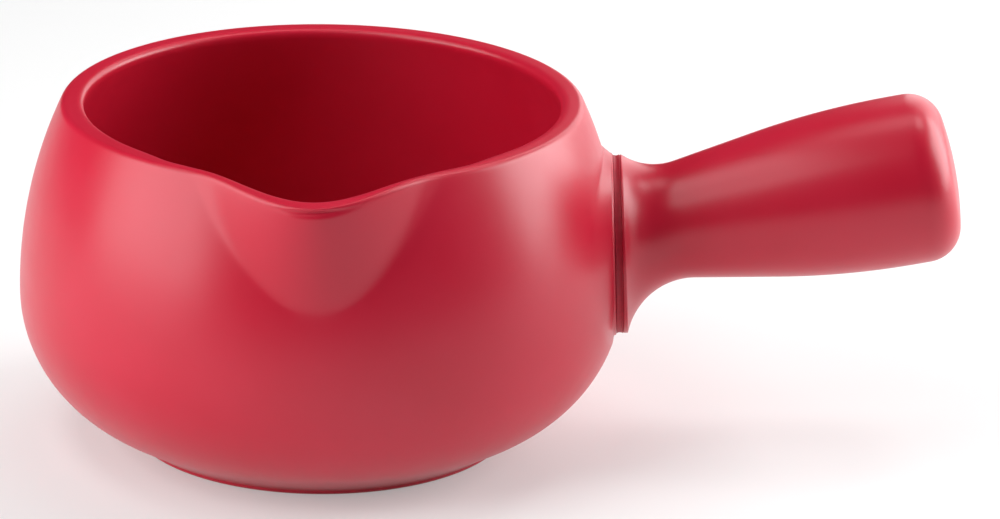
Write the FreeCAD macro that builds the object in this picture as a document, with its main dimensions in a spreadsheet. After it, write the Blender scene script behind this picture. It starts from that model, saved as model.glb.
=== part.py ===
"""Stoneware milk pan: a round-bellied bowl with a pouring lip, and a hollow handle luted to its side.

Millimetres. The origin is on the table, on the bowl's axis. +X points along the handle,
-Y points out over the pouring lip and +Z points up.
"""
import FreeCAD
import Part

import math
import os

import Sketcher

V = FreeCAD.Vector
ORIGIN = (-1, 1)

# name, size in millimetres or degrees, what it measures
SIZES = [
    ("belly_radius", 68.0, "outside of the bowl at its widest"),
    ("belly_height", 34.2, "height of the widest place"),
    ("shoulder_radius", 97.0, "curve of the wall above the belly"),
    ("rim_height", 78.3, "top of the rim"),
    ("wall", 4.8, "thickness of the bowl's wall"),
    ("floor_height", 5.5, "inside floor above the table"),
    ("lip_outer_round", 2.8, "rounding of the rim's outer edge"),
    ("lip_inner_round", 1.8, "rounding of the rim's inner edge"),
    ("foot_radius", 43.8, "outside of the foot ring"),
    ("foot_height", 3.2, "side of the foot ring, up to the wall"),
    ("foot_ring_width", 5.0, "width of the foot ring"),
    ("foot_recess", 1.5, "hollow inside the foot ring"),
    ("foot_edge", 0.8, "rounding of the foot ring's edges"),
    ("foot_cove", 1.8, "hollow curve between the foot ring and the wall"),
    ("spout_reach", 70.3, "tip of the pouring lip from the bowl's axis"),
    ("spout_radius", 28.0, "plan curve of the lip at the rim"),
    ("spout_lean", 8.1, "how far the lip leans out"),
    ("spout_crease", 5.0, "rounding where the lip leaves the wall outside"),
    ("spout_ridge", 6.0, "rounding where the lip leaves the wall inside"),
    ("seat_height", 44.8, "middle of the boss's face above the table"),
    ("seat_cut", 0.7, "how deep the boss's flat face is cut into the belly"),
    ("boss_depth", 6.0, "how deep the boss runs into the wall"),
    ("boss_fillet", 1.0, "fillet round the boss"),
    ("flange_radius", 20.4, "boss and flange"),
    ("flange_thickness", 1.6, "flange at its edge"),
    ("flange_edge", 0.4, "rounding of the edges beside the seam"),
    ("slip_thickness", 0.8, "slip between boss and flange"),
    ("slip_recess", 0.9, "slip's edge inside the flange's edge"),
    ("slip_width", 6.0, "width of the ring of slip"),
    ("grip_tilt", 11.6, "rise of the handle's axis"),
    ("grip_rise", 3.4, "handle's axis above the middle of the flange"),
    ("neck_radius", 13.2, "handle at its thinnest"),
    ("neck_distance", 12.1, "flange face to the thinnest place"),
    ("flare_radius", 14.2, "curve from the neck to the flange"),
    ("taper", 9.5, "slope of the side of the grip"),
    ("club_distance", 64.1, "flange face to the thickest place"),
    ("club_curve", 188.0, "curve of the grip's thick end"),
    ("end_length", 12.2, "thickest place to the handle's end"),
    ("end_round", 8.0, "rounding of the handle's end"),
    ("end_dome", 75.0, "curve of the handle's end face"),
    ("handle_wall", 4.5, "thickness of the hollow handle's wall"),
    ("vent_distance", 22.0, "vent hole from the flange face"),
    ("vent_diameter", 2.5, "vent hole on the underside"),
]

SPAN = "(sizes.belly_radius - sizes.foot_radius)"
HIP_RADIUS = f"({SPAN} / 2 + (sizes.belly_height - sizes.foot_height) ^ 2 / {SPAN} / 2)"
SEAT_RISE = "(sizes.seat_height - sizes.belly_height)"
SHOULDER_DEPTH = "(sizes.shoulder_radius - sqrt(sizes.shoulder_radius ^ 2 - {} ^ 2))"
DEPTH_AT_SEAT = SHOULDER_DEPTH.format(SEAT_RISE)
DEPTH_ABOVE = SHOULDER_DEPTH.format(f"({SEAT_RISE} + sizes.flange_radius)")
DEPTH_BELOW = f"({HIP_RADIUS} - sqrt({HIP_RADIUS} ^ 2 - ({SEAT_RISE} - sizes.flange_radius) ^ 2))"
SEAT_DISTANCE = f"(sizes.belly_radius - {DEPTH_AT_SEAT} - sizes.seat_cut)"
SEAT_TILT = f"(atan(({DEPTH_ABOVE} - {DEPTH_BELOW}) / sizes.flange_radius / 2) / 1 deg)"


def fill_sheet(sheet):
    """Write every size into the sheet, with its name as the alias of its cell."""
    for row, (name, value, meaning) in enumerate(SIZES, 1):
        sheet.set(f"A{row}", name)
        sheet.set(f"B{row}", str(value))
        sheet.set(f"C{row}", meaning)
        sheet.setAlias(f"B{row}", name)


def new_body(name):
    body = doc.addObject("PartDesign::Body", name)
    body.Label = name
    return body


def new_sketch(body, name, role):
    """An empty sketch on one of the body's own origin planes."""
    plane = next(item for item in body.Origin.OriginFeatures if item.Role == role)
    sketch = body.newObject("Sketcher::SketchObject", name)
    sketch.AttachmentSupport = [(plane, "")]
    sketch.MapMode = "FlatFace"
    return sketch


def add_line(sketch, start, end):
    return sketch.addGeometry(Part.LineSegment(V(*start, 0), V(*end, 0)))


def add_arc(sketch, centre, start, end):
    """An arc about centre, counter-clockwise from start to end."""
    reach = V(start[0] - centre[0], start[1] - centre[1], 0)
    first = math.atan2(reach.y, reach.x)
    last = math.atan2(end[1] - centre[1], end[0] - centre[0])
    circle = Part.Circle(V(*centre, 0), V(0, 0, 1), reach.Length)
    return sketch.addGeometry(Part.ArcOfCircle(circle, first, last))


def start_of(curve):
    return curve, 1


def end_of(curve):
    return curve, 2


def centre_of(curve):
    return curve, 3


def constrain(sketch, kind, *places):
    sketch.addConstraint(Sketcher.Constraint(kind, *places))


def put_on_vertical_axis(sketch, point):
    constrain(sketch, "PointOnObject", *point, -2)


def put_on_horizontal_axis(sketch, point):
    constrain(sketch, "PointOnObject", *point, -1)


def bind(sketch, kind, places, value, expression):
    """Add a dimension and tie it to the sheet."""
    index = sketch.addConstraint(Sketcher.Constraint(kind, *places, value))
    sketch.setExpression(f"Constraints[{index}]", expression)


def chain(sketch, *curves):
    """Join the end of each curve to the start of the next one, round a closed outline."""
    for first, second in zip(curves, curves[1:] + curves[:1]):
        constrain(sketch, "Coincident", *end_of(first), *start_of(second))


def add_circle(sketch, radius, expression):
    circle = sketch.addGeometry(Part.Circle(V(0, 0, 0), V(0, 0, 1), radius))
    constrain(sketch, "Coincident", *centre_of(circle), *ORIGIN)
    bind(sketch, "Radius", (circle,), radius, expression)
    return circle


def revolve(body, kind, name, sketch, axis):
    feature = body.newObject(f"PartDesign::{kind}", name)
    feature.Profile = sketch
    feature.ReferenceAxis = (sketch, [axis])
    feature.Angle = 360
    doc.recompute()
    return feature


def extrude(body, kind, name, sketch, expression, reverse=False):
    feature = body.newObject(f"PartDesign::{kind}", name)
    feature.Profile = sketch
    feature.Reversed = reverse
    feature.setExpression("Length", expression)
    doc.recompute()
    return feature


def fillet(body, name, test, expression):
    """Round every edge of the body's last feature that passes the test."""
    base = body.Tip
    edges = [f"Edge{i}" for i, edge in enumerate(base.Shape.Edges, 1) if test(edge)]
    feature = body.newObject("PartDesign::Fillet", name)
    feature.Base = (base, edges)
    feature.setExpression("Radius", expression)
    doc.recompute()
    return feature


def samples(edge):
    """Points along an edge, its ends left out."""
    first, last = edge.ParameterRange
    return [edge.valueAt(first + (last - first) * share) for share in (0.1, 0.5, 0.9)]


def on_face_kind(shape, edge, kind):
    """Whether the edge bounds a face with that kind of surface."""
    faces = shape.ancestorsOfType(edge, Part.Face)
    return any(isinstance(face.Surface, kind) for face in faces)


def face_count(shape, edge):
    return len(shape.ancestorsOfType(edge, Part.Face))


def make_bowl():
    body = new_body("bowl")
    add_bowl_outside(body)
    add_spout_outside(body)
    seat = add_boss(body)
    cut_cavity(body)
    cut_spout_inside(body)
    finish_rim(body)
    finish_foot(body)
    ease_seat_edge(body, seat)
    return body


def add_bowl_outside(body):
    """The solid round form: foot, hip, belly and shoulder, turned about the Z axis."""
    belly = (size("belly_radius"), size("belly_height"))
    shoulder = (belly[0] - size("shoulder_radius"), belly[1])
    foot = size("foot_radius")
    foot_top = size("foot_height")
    span = belly[0] - foot
    hip = (belly[0] - span / 2 - (belly[1] - foot_top) ** 2 / span / 2, belly[1])
    rim = size("rim_height")
    rim_radius = shoulder[0] + math.sqrt(size("shoulder_radius") ** 2 - (rim - belly[1]) ** 2)

    sketch = new_sketch(body, "bowl_outline", "XZ_Plane")
    base = add_line(sketch, (0, 0), (foot, 0))
    side = add_line(sketch, (foot, 0), (foot, foot_top))
    lower = add_arc(sketch, hip, (foot, foot_top), belly)
    upper = add_arc(sketch, shoulder, belly, (rim_radius, rim))
    top = add_line(sketch, (rim_radius, rim), (0, rim))
    axis = add_line(sketch, (0, rim), (0, 0))
    chain(sketch, base, side, lower, upper, top, axis)
    constrain(sketch, "Coincident", *start_of(base), *ORIGIN)
    constrain(sketch, "Horizontal", base)
    constrain(sketch, "Vertical", side)
    constrain(sketch, "Horizontal", top)
    constrain(sketch, "Vertical", axis)
    bind(sketch, "DistanceX", (*ORIGIN, *end_of(base)), foot, "sizes.foot_radius")
    bind(sketch, "DistanceX", (*ORIGIN, *end_of(lower)), belly[0], "sizes.belly_radius")
    bind(sketch, "DistanceY", (*ORIGIN, *end_of(lower)), belly[1], "sizes.belly_height")
    bind(sketch, "DistanceY", (*ORIGIN, *centre_of(lower)), belly[1], "sizes.belly_height")
    bind(sketch, "DistanceY", (*ORIGIN, *centre_of(upper)), belly[1], "sizes.belly_height")
    bind(sketch, "DistanceY", (*ORIGIN, *end_of(side)), foot_top, "sizes.foot_height")
    bind(sketch, "Radius", (upper,), size("shoulder_radius"), "sizes.shoulder_radius")
    bind(sketch, "DistanceY", (*ORIGIN, *end_of(top)), rim, "sizes.rim_height")
    revolve(body, "Revolution", "bowl_form", sketch, "V_Axis")


def spout_sketch(body, name, top, top_expression, inset, inset_expression):
    """Half section of the lip's cone, about an upright axis inside the bowl."""
    low = size("belly_height")
    slope = math.tan(math.radians(size("spout_lean")))
    low_radius = size("spout_radius") - inset - (size("rim_height") - low) * slope
    top_radius = low_radius + (top - low) * slope
    rim_radius = f"sizes.spout_radius - {inset_expression}"

    sketch = new_sketch(body, name, "YZ_Plane")
    sketch.setExpression("AttachmentOffset.Base.x", "sizes.spout_radius - sizes.spout_reach")
    base = add_line(sketch, (0, low), (-low_radius, low))
    side = add_line(sketch, (-low_radius, low), (-top_radius, top))
    lid = add_line(sketch, (-top_radius, top), (0, top))
    axis = add_line(sketch, (0, top), (0, low))
    chain(sketch, base, side, lid, axis)
    constrain(sketch, "Horizontal", base)
    constrain(sketch, "Horizontal", lid)
    put_on_vertical_axis(sketch, start_of(base))
    put_on_vertical_axis(sketch, end_of(lid))
    bind(sketch, "DistanceY", (*ORIGIN, *start_of(base)), low, "sizes.belly_height")
    bind(sketch, "DistanceY", (*ORIGIN, *end_of(lid)), top, top_expression)
    bind(sketch, "DistanceX", (*end_of(base), *start_of(base)), low_radius,
         f"{rim_radius} - (sizes.rim_height - sizes.belly_height) * tan(sizes.spout_lean)")
    bind(sketch, "DistanceX", (*start_of(lid), *end_of(lid)), top_radius,
         f"{rim_radius} + ({top_expression} - sizes.rim_height) * tan(sizes.spout_lean)")
    return sketch


def add_spout_outside(body):
    """The pouring lip swells out of the shoulder as part of a cone."""
    sketch = spout_sketch(body, "spout_outline", size("rim_height"), "sizes.rim_height", 0, "0")
    form = revolve(body, "Revolution", "spout_form", sketch, "V_Axis")
    shape = form.Shape

    def crease(edge):
        cone = on_face_kind(shape, edge, Part.Cone)
        flat = on_face_kind(shape, edge, Part.Plane)
        return cone and not flat and face_count(shape, edge) == 2

    fillet(body, "spout_crease_round", crease, "sizes.spout_crease")


def seat_sketch(body, name):
    """A sketch on the tilted plane of the boss's face, centred on it."""
    sketch = new_sketch(body, name, "YZ_Plane")
    sketch.AttachmentOffset = FreeCAD.Placement(V(0, 0, 0), FreeCAD.Rotation(V(-1, 0, 0), 1))
    sketch.setExpression("AttachmentOffset.Base.y", "sizes.seat_height")
    sketch.setExpression("AttachmentOffset.Base.z", SEAT_DISTANCE)
    sketch.setExpression("AttachmentOffset.Rotation.Angle", SEAT_TILT)
    return sketch


def add_boss(body):
    """A flat round boss on the wall. The belly's bulge inside its outline is cut level with it."""
    level = seat_sketch(body, "boss_level_outline")
    add_circle(level, size("flange_radius"), "sizes.flange_radius")
    extrude(body, "Pocket", "boss_level", level, "sizes.boss_depth", reverse=True)
    outline = seat_sketch(body, "boss_outline")
    add_circle(outline, size("flange_radius"), "sizes.flange_radius")
    boss = extrude(body, "Pad", "boss", outline, "sizes.boss_depth", reverse=True)
    shape = boss.Shape

    def root(edge):
        round_side = on_face_kind(shape, edge, Part.Cylinder)
        flat = on_face_kind(shape, edge, Part.Plane)
        near = all(point.x > size("foot_radius") for point in samples(edge))
        return round_side and near and not flat and face_count(shape, edge) == 2 and not is_line(edge)

    fillet(body, "boss_root_round", root, "sizes.boss_fillet")
    return outline.Placement


def is_line(edge):
    return isinstance(edge.Curve, (Part.Line, Part.LineSegment))


def cut_cavity(body):
    """The hollow of the bowl, one wall inside the outer form, open at the top."""
    wall = size("wall")
    belly = (size("belly_radius") - wall, size("belly_height"))
    floor = size("floor_height")
    hip = (belly[0] - (belly[1] - floor), belly[1])
    shoulder = (size("belly_radius") - size("shoulder_radius"), belly[1])
    top = size("rim_height") + wall
    top_radius = shoulder[0] + math.sqrt((belly[0] - shoulder[0]) ** 2 - (top - belly[1]) ** 2)

    sketch = new_sketch(body, "cavity_outline", "XZ_Plane")
    base = add_line(sketch, (0, floor), (hip[0], floor))
    lower = add_arc(sketch, hip, (hip[0], floor), belly)
    upper = add_arc(sketch, shoulder, belly, (top_radius, top))
    lid = add_line(sketch, (top_radius, top), (0, top))
    axis = add_line(sketch, (0, top), (0, floor))
    constrain(sketch, "Tangent", *end_of(base), *start_of(lower))
    constrain(sketch, "Coincident", *end_of(lower), *start_of(upper))
    constrain(sketch, "Coincident", *end_of(upper), *start_of(lid))
    constrain(sketch, "Coincident", *end_of(lid), *start_of(axis))
    constrain(sketch, "Coincident", *end_of(axis), *start_of(base))
    put_on_vertical_axis(sketch, start_of(base))
    put_on_vertical_axis(sketch, end_of(lid))
    constrain(sketch, "Horizontal", base)
    constrain(sketch, "Horizontal", lid)
    inner_belly = "sizes.belly_radius - sizes.wall"
    bind(sketch, "DistanceX", (*ORIGIN, *end_of(lower)), belly[0], inner_belly)
    bind(sketch, "DistanceY", (*ORIGIN, *end_of(lower)), belly[1], "sizes.belly_height")
    bind(sketch, "DistanceY", (*ORIGIN, *centre_of(lower)), belly[1], "sizes.belly_height")
    bind(sketch, "DistanceY", (*ORIGIN, *centre_of(upper)), belly[1], "sizes.belly_height")
    bind(sketch, "Radius", (lower,), belly[1] - floor, "sizes.belly_height - sizes.floor_height")
    bind(sketch, "Radius", (upper,), belly[0] - shoulder[0], "sizes.shoulder_radius - sizes.wall")
    bind(sketch, "DistanceY", (*ORIGIN, *end_of(lid)), top, "sizes.rim_height + sizes.wall")
    revolve(body, "Groove", "cavity", sketch, "V_Axis")


def inside_wall(point):
    """Whether a point of the shoulder or the lip is nearer the hollow than the outside."""
    half = size("wall") / 2
    curve = size("shoulder_radius") - half
    rise = point.z - size("belly_height")
    shoulder = size("belly_radius") - size("shoulder_radius") + math.sqrt(curve ** 2 - rise ** 2)
    drop = size("rim_height") - point.z
    lip = size("spout_radius") - half - drop * math.tan(math.radians(size("spout_lean")))
    lip_centre = size("spout_reach") - size("spout_radius")
    in_bowl = math.hypot(point.x, point.y) < shoulder
    in_lip = math.hypot(point.x, point.y + lip_centre) < lip
    return in_bowl or in_lip


def cut_spout_inside(body):
    """The hollow of the pouring lip, one wall inside its outer cone."""
    wall = size("wall")
    top = size("rim_height") + wall
    sketch = spout_sketch(body, "spout_hollow_outline", top, "(sizes.rim_height + sizes.wall)",
                          wall, "sizes.wall")
    hollow = revolve(body, "Groove", "spout_hollow", sketch, "V_Axis")
    shape = hollow.Shape

    def ridge(edge):
        cone = on_face_kind(shape, edge, Part.Cone)
        flat = on_face_kind(shape, edge, Part.Plane)
        inside = all(inside_wall(point) for point in samples(edge))
        return cone and inside and not flat and face_count(shape, edge) == 2 and not is_line(edge)

    fillet(body, "spout_ridge_round", ridge, "sizes.spout_ridge")


def finish_rim(body):
    """Round the rim's two edges, the outer one more than the inner one."""
    rim = size("rim_height")

    def on_rim(edge):
        return all(abs(point.z - rim) < 1e-4 for point in samples(edge))

    def outer_rim(edge):
        return on_rim(edge) and not any(inside_wall(point) for point in samples(edge))

    def inner_rim(edge):
        return on_rim(edge) and all(inside_wall(point) for point in samples(edge))

    fillet(body, "rim_outer_round", outer_rim, "sizes.lip_outer_round")
    fillet(body, "rim_inner_round", inner_rim, "sizes.lip_inner_round")


def finish_foot(body):
    """Hollow the foot so that it stands on a ring, and soften the ring's edges and root."""
    outline = new_sketch(body, "foot_recess_outline", "XY_Plane")
    radius = size("foot_radius") - size("foot_ring_width")
    add_circle(outline, radius, "sizes.foot_radius - sizes.foot_ring_width")
    extrude(body, "Pocket", "foot_recess", outline, "sizes.foot_recess", reverse=True)

    def on_foot(edge):
        return all(abs(point.z) < 1e-4 for point in samples(edge))

    def on_foot_top(edge):
        above = all(size("foot_edge") < point.z for point in samples(edge))
        radii = [math.hypot(point.x, point.y) for point in samples(edge)]
        on_side = all(abs(radius - size("foot_radius")) < 1e-4 for radius in radii)
        return above and on_side and not is_line(edge)

    fillet(body, "foot_round", on_foot, "sizes.foot_edge")
    fillet(body, "foot_cove", on_foot_top, "sizes.foot_cove")


def ease_seat_edge(body, seat):
    """Round the edge of the boss's face, beside the seam."""
    normal = seat.Rotation.multVec(V(0, 0, 1))

    def on_seat(edge):
        return all(abs((point - seat.Base).dot(normal)) < 1e-4 for point in samples(edge))

    fillet(body, "boss_edge_round", on_seat, "sizes.flange_edge")


def place_on_seat(body, gap):
    """Set a body's YZ plane on the boss's face, a named gap in front of it."""
    body.Placement = FreeCAD.Placement(V(0, 0, 0), FreeCAD.Rotation(V(0, -1, 0), 1))
    body.setExpression("Placement.Base.x", f"{SEAT_DISTANCE} + {gap} * cos({SEAT_TILT})")
    body.setExpression("Placement.Base.z", f"sizes.seat_height + {gap} * sin({SEAT_TILT})")
    body.setExpression("Placement.Rotation.Angle", SEAT_TILT)


def make_joint_slip():
    """The ring of slip between boss and flange, a little smaller than both."""
    body = new_body("joint_slip")
    place_on_seat(body, "0")
    sketch = new_sketch(body, "slip_outline", "YZ_Plane")
    outer = size("flange_radius") - size("slip_recess")
    add_circle(sketch, outer, "sizes.flange_radius - sizes.slip_recess")
    add_circle(sketch, outer - size("slip_width"),
               "sizes.flange_radius - sizes.slip_recess - sizes.slip_width")
    extrude(body, "Pad", "slip_ring", sketch, "sizes.slip_thickness")
    return body


def grip_sketch(body, name, inset, inset_expression):
    """Half section of the handle about its axis: flare, neck, swelling grip and domed end."""
    taper = math.radians(size("taper"))
    flare = size("flare_radius") + inset
    flare_centre = (size("neck_distance"), size("neck_radius") + size("flare_radius"))
    rear = (flare_centre[0] - flare, flare_centre[1])
    tail = rear[0] - size("flange_radius")
    neck_end = (flare_centre[0] + flare * math.sin(taper), flare_centre[1] - flare * math.cos(taper))
    club = size("club_curve") - inset
    swell_x = size("club_distance") - club * math.sin(taper)
    swell = (swell_x, neck_end[1] + (swell_x - neck_end[0]) * math.tan(taper))
    club_centre = (size("club_distance"), swell[1] - club * math.cos(taper))
    thick = (club_centre[0], club_centre[1] + club)
    corner = size("end_round") - inset
    dome = size("end_dome") - inset
    dome_centre = (size("club_distance") + size("end_length") - size("end_dome"), 0)
    corner_y = thick[1] - corner
    corner_centre = (dome_centre[0] + math.sqrt((dome - corner) ** 2 - corner_y ** 2), corner_y)
    turn = math.atan2(corner_y, corner_centre[0] - dome_centre[0])
    shoulder = (corner_centre[0], thick[1])
    dome_edge = (dome_centre[0] + dome * math.cos(turn), dome * math.sin(turn))
    tip = (dome_centre[0] + dome, 0)

    sketch = new_sketch(body, name, "XZ_Plane")
    sketch.AttachmentOffset = FreeCAD.Placement(V(0, 0, 0), FreeCAD.Rotation(V(0, 0, 1), 1))
    sketch.setExpression("AttachmentOffset.Base.y", "sizes.grip_rise")
    sketch.setExpression("AttachmentOffset.Rotation.Angle", f"sizes.grip_tilt - {SEAT_TILT}")
    axis = add_line(sketch, (tail, 0), tip)
    back = add_line(sketch, (tail, rear[1]), (tail, 0))
    skirt = add_line(sketch, rear, (tail, rear[1]))
    flare_arc = add_arc(sketch, flare_centre, rear, neck_end)
    side = add_line(sketch, neck_end, swell)
    club_arc = add_arc(sketch, club_centre, thick, swell)
    top = add_line(sketch, thick, shoulder)
    corner_arc = add_arc(sketch, corner_centre, dome_edge, shoulder)
    dome_arc = add_arc(sketch, dome_centre, tip, dome_edge)

    constrain(sketch, "Coincident", *end_of(back), *start_of(axis))
    constrain(sketch, "Coincident", *end_of(skirt), *start_of(back))
    constrain(sketch, "Coincident", *start_of(skirt), *start_of(flare_arc))
    constrain(sketch, "Tangent", *end_of(flare_arc), *start_of(side))
    constrain(sketch, "Tangent", *end_of(side), *end_of(club_arc))
    constrain(sketch, "Tangent", *start_of(club_arc), *start_of(top))
    constrain(sketch, "Tangent", *end_of(top), *end_of(corner_arc))
    constrain(sketch, "Tangent", *start_of(corner_arc), *end_of(dome_arc))
    constrain(sketch, "Coincident", *start_of(dome_arc), *end_of(axis))
    put_on_horizontal_axis(sketch, start_of(axis))
    put_on_horizontal_axis(sketch, end_of(axis))
    put_on_horizontal_axis(sketch, centre_of(dome_arc))
    constrain(sketch, "Vertical", back)
    constrain(sketch, "Horizontal", skirt)
    constrain(sketch, "Horizontal", *start_of(flare_arc), *centre_of(flare_arc))
    constrain(sketch, "Horizontal", top)
    bind(sketch, "DistanceX", (*end_of(skirt), *start_of(skirt)), size("flange_radius"),
         "sizes.flange_radius")
    bind(sketch, "DistanceX", (*ORIGIN, *centre_of(flare_arc)), flare_centre[0], "sizes.neck_distance")
    bind(sketch, "DistanceY", (*ORIGIN, *centre_of(flare_arc)), flare_centre[1],
         "sizes.neck_radius + sizes.flare_radius")
    bind(sketch, "Radius", (flare_arc,), flare, f"sizes.flare_radius + {inset_expression}")
    bind(sketch, "Angle", (side,), taper, "sizes.taper")
    bind(sketch, "DistanceX", (*ORIGIN, *centre_of(club_arc)), club_centre[0], "sizes.club_distance")
    bind(sketch, "Radius", (club_arc,), club, f"sizes.club_curve - {inset_expression}")
    bind(sketch, "Radius", (corner_arc,), corner, f"sizes.end_round - {inset_expression}")
    bind(sketch, "Radius", (dome_arc,), dome, f"sizes.end_dome - {inset_expression}")
    bind(sketch, "DistanceX", (*ORIGIN, *end_of(axis)), tip[0],
         f"sizes.club_distance + sizes.end_length - {inset_expression}")
    return sketch


def make_handle():
    """A hollow handle: a flared, club-shaped grip that rises from a round flange."""
    body = new_body("handle")
    place_on_seat(body, "sizes.slip_thickness")
    revolve(body, "Revolution", "grip", grip_sketch(body, "grip_outline", 0, "0"), "H_Axis")

    behind = new_sketch(body, "flange_face_outline", "YZ_Plane")
    add_circle(behind, size("flange_radius") * 2, "sizes.flange_radius * 2")
    extrude(body, "Pocket", "flange_face", behind, "sizes.flange_radius * 2")

    around = new_sketch(body, "flange_trim_outline", "YZ_Plane")
    add_circle(around, size("flange_radius") * 2, "sizes.flange_radius * 2")
    add_circle(around, size("flange_radius"), "sizes.flange_radius")
    extrude(body, "Pocket", "flange_trim", around, "sizes.neck_distance", reverse=True)

    disc = new_sketch(body, "flange_outline", "YZ_Plane")
    add_circle(disc, size("flange_radius"), "sizes.flange_radius")
    extrude(body, "Pad", "flange", disc, "sizes.flange_thickness")

    def beside_seam(edge):
        return all(abs(point.x) < 1e-4 for point in samples(edge))

    fillet(body, "flange_round", beside_seam, "sizes.flange_edge")
    hollow = grip_sketch(body, "hollow_outline", size("handle_wall"), "sizes.handle_wall")
    revolve(body, "Groove", "hollow", hollow, "H_Axis")

    vent = new_sketch(body, "vent_outline", "XY_Plane")
    vent.setExpression("AttachmentOffset.Base.x", "sizes.vent_distance")
    add_circle(vent, size("vent_diameter") / 2, "sizes.vent_diameter / 2")
    extrude(body, "Pocket", "vent", vent, "sizes.flange_radius")
    return body


def check_document():
    """Stop if any object failed, or if a sub-part is empty or not sound."""
    failed = [item.Name for item in doc.Objects if {"Invalid", "Error"} & set(item.State)]
    if failed:
        raise RuntimeError(f"failed objects: {failed}")
    for body in bodies:
        if body.Shape.isNull() or not body.Shape.isValid():
            raise RuntimeError(f"{body.Label} has no sound shape")
        if len(body.Shape.Solids) != 1:
            raise RuntimeError(f"{body.Label} is not one solid")


doc = FreeCAD.newDocument("milk_pan")
sizes = doc.addObject("Spreadsheet::Sheet", "sizes")
fill_sheet(sizes)
doc.recompute()


def size(name):
    """A size's present value in the sheet."""
    return float(getattr(sizes, name))


bodies = [make_bowl(), make_joint_slip(), make_handle()]
doc.recompute()
check_document()
os.makedirs("parts", exist_ok=True)
for item in bodies:
    item.Shape.exportStep(f"parts/{item.Label}.step")
    box = item.Shape.BoundBox
    print(item.Label, "volume", round(item.Shape.Volume), "mm3, box", box)
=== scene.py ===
# %% [markdown]
# # A red stoneware milk pan
# The pan is slip-cast stoneware in two castings, a round-bellied bowl with a pouring lip and a
# hollow handle. The handle is luted to a boss on the bowl with a thin ring of slip, and one red
# glaze covers them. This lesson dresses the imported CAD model: each casting becomes a surface
# worked out with numpy, then come the glaze, the light and the camera.

import math

import bmesh
import bpy
import numpy as np
from mathutils import Matrix, Vector


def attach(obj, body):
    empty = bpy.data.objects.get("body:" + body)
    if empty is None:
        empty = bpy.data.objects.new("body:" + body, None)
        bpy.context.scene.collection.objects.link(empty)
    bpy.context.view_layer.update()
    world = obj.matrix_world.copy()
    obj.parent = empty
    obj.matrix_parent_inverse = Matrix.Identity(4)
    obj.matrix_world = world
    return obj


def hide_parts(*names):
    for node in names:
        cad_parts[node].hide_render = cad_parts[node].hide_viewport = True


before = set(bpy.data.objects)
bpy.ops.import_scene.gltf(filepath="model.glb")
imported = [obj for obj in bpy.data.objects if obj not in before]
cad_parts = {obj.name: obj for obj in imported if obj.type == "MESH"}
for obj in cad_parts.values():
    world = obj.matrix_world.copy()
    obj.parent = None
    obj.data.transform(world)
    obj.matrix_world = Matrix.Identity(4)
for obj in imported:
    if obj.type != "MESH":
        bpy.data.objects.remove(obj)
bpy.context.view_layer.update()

# %% [markdown]
# ## From numbers to a mesh
# Every piece here is a closed skin, and every skin is a table of points: one row for each step
# along a profile, one column for each step round the piece. Quads join neighbouring rows, and the
# last column joins the first, so a seam can't open. A row whose points all fall on one spot makes
# a pole. The points are worked out in millimetres, as a potter would measure them, and go into
# the mesh in metres.

# %% Tables of points
SAME_SPOT = 1e-7


def ring_quads(ids):
    """Quads between neighbouring rows of a table of point numbers, round the whole of each row."""
    beside = np.roll(ids, -1, axis=1)
    return np.stack([ids[:-1], beside[:-1], beside[1:], ids[1:]], axis=-1)


def number_points(points, first=0):
    """A table of point numbers, row by row, for a table of points."""
    return first + np.arange(points[..., 0].size).reshape(points.shape[:2])


def new_piece(name, points, quads):
    """An object at the origin with these points, in millimetres, and these faces.

    Points within SAME_SPOT metres, as at poles, are merged, and the faces are turned outwards.
    """
    mesh = bpy.data.meshes.new(name)
    mesh.from_pydata((points.reshape(-1, 3) / 1000).tolist(), [], quads.reshape(-1, 4).tolist())
    skin = bmesh.new()
    skin.from_mesh(mesh)
    bmesh.ops.remove_doubles(skin, verts=skin.verts, dist=SAME_SPOT)
    bmesh.ops.recalc_face_normals(skin, faces=skin.faces)
    open_edges = sum(not edge.is_manifold for edge in skin.edges)
    skin.to_mesh(mesh)
    skin.free()
    mesh.shade_smooth()
    piece = bpy.data.objects.new(name, mesh)
    bpy.context.scene.collection.objects.link(piece)
    print(name, "has", len(mesh.polygons), "faces and", open_edges, "open edges")
    return piece


# %% [markdown]
# ## The wall of the bowl
# The bowl is a form of revolution, so its wall is one profile: a long arc for the shoulder and a
# tighter arc for the hip, which meet where the belly is widest. It could be spun from a curve
# with a Screw modifier, but the pouring lip breaks the symmetry, so the wall is written as a
# radius that depends on height and, later, on direction too.

# %% Profile of the wall
BELLY_RADIUS, BELLY_HEIGHT = 67.97, 34.2
SHOULDER_BEND, HIP_BEND = 102.0, 31.97
RIM_HEIGHT, WALL = 77.95, 5.2


def turned_radius(height, inset):
    """Radius of the turned wall: an arc of SHOULDER_BEND above the belly and one of HIP_BEND below.

    The arcs' centres are level with the belly, and inset moves the wall in by that much.
    """
    rise = height - BELLY_HEIGHT
    bend = np.where(rise > 0, SHOULDER_BEND, HIP_BEND)
    return BELLY_RADIUS - bend + np.sqrt(np.maximum((bend - inset) ** 2 - rise ** 2, 0))


print("radius at the rim", np.round(turned_radius(RIM_HEIGHT, 0), 2), "mm")

# %% [markdown]
# ## The pouring lip
# The lip is pressed out of the soft wall with a thumb, so seen from above it is a V with a rounded
# tip. It is widest at the rim and runs out to nothing a third of the way down. A hyperbola is such
# a V, and a ray from the bowl's axis meets it at a distance that has a formula. So the lip needs no
# boolean: the wall's radius in each direction is the larger of the wall's and the lip's distance.

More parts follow.
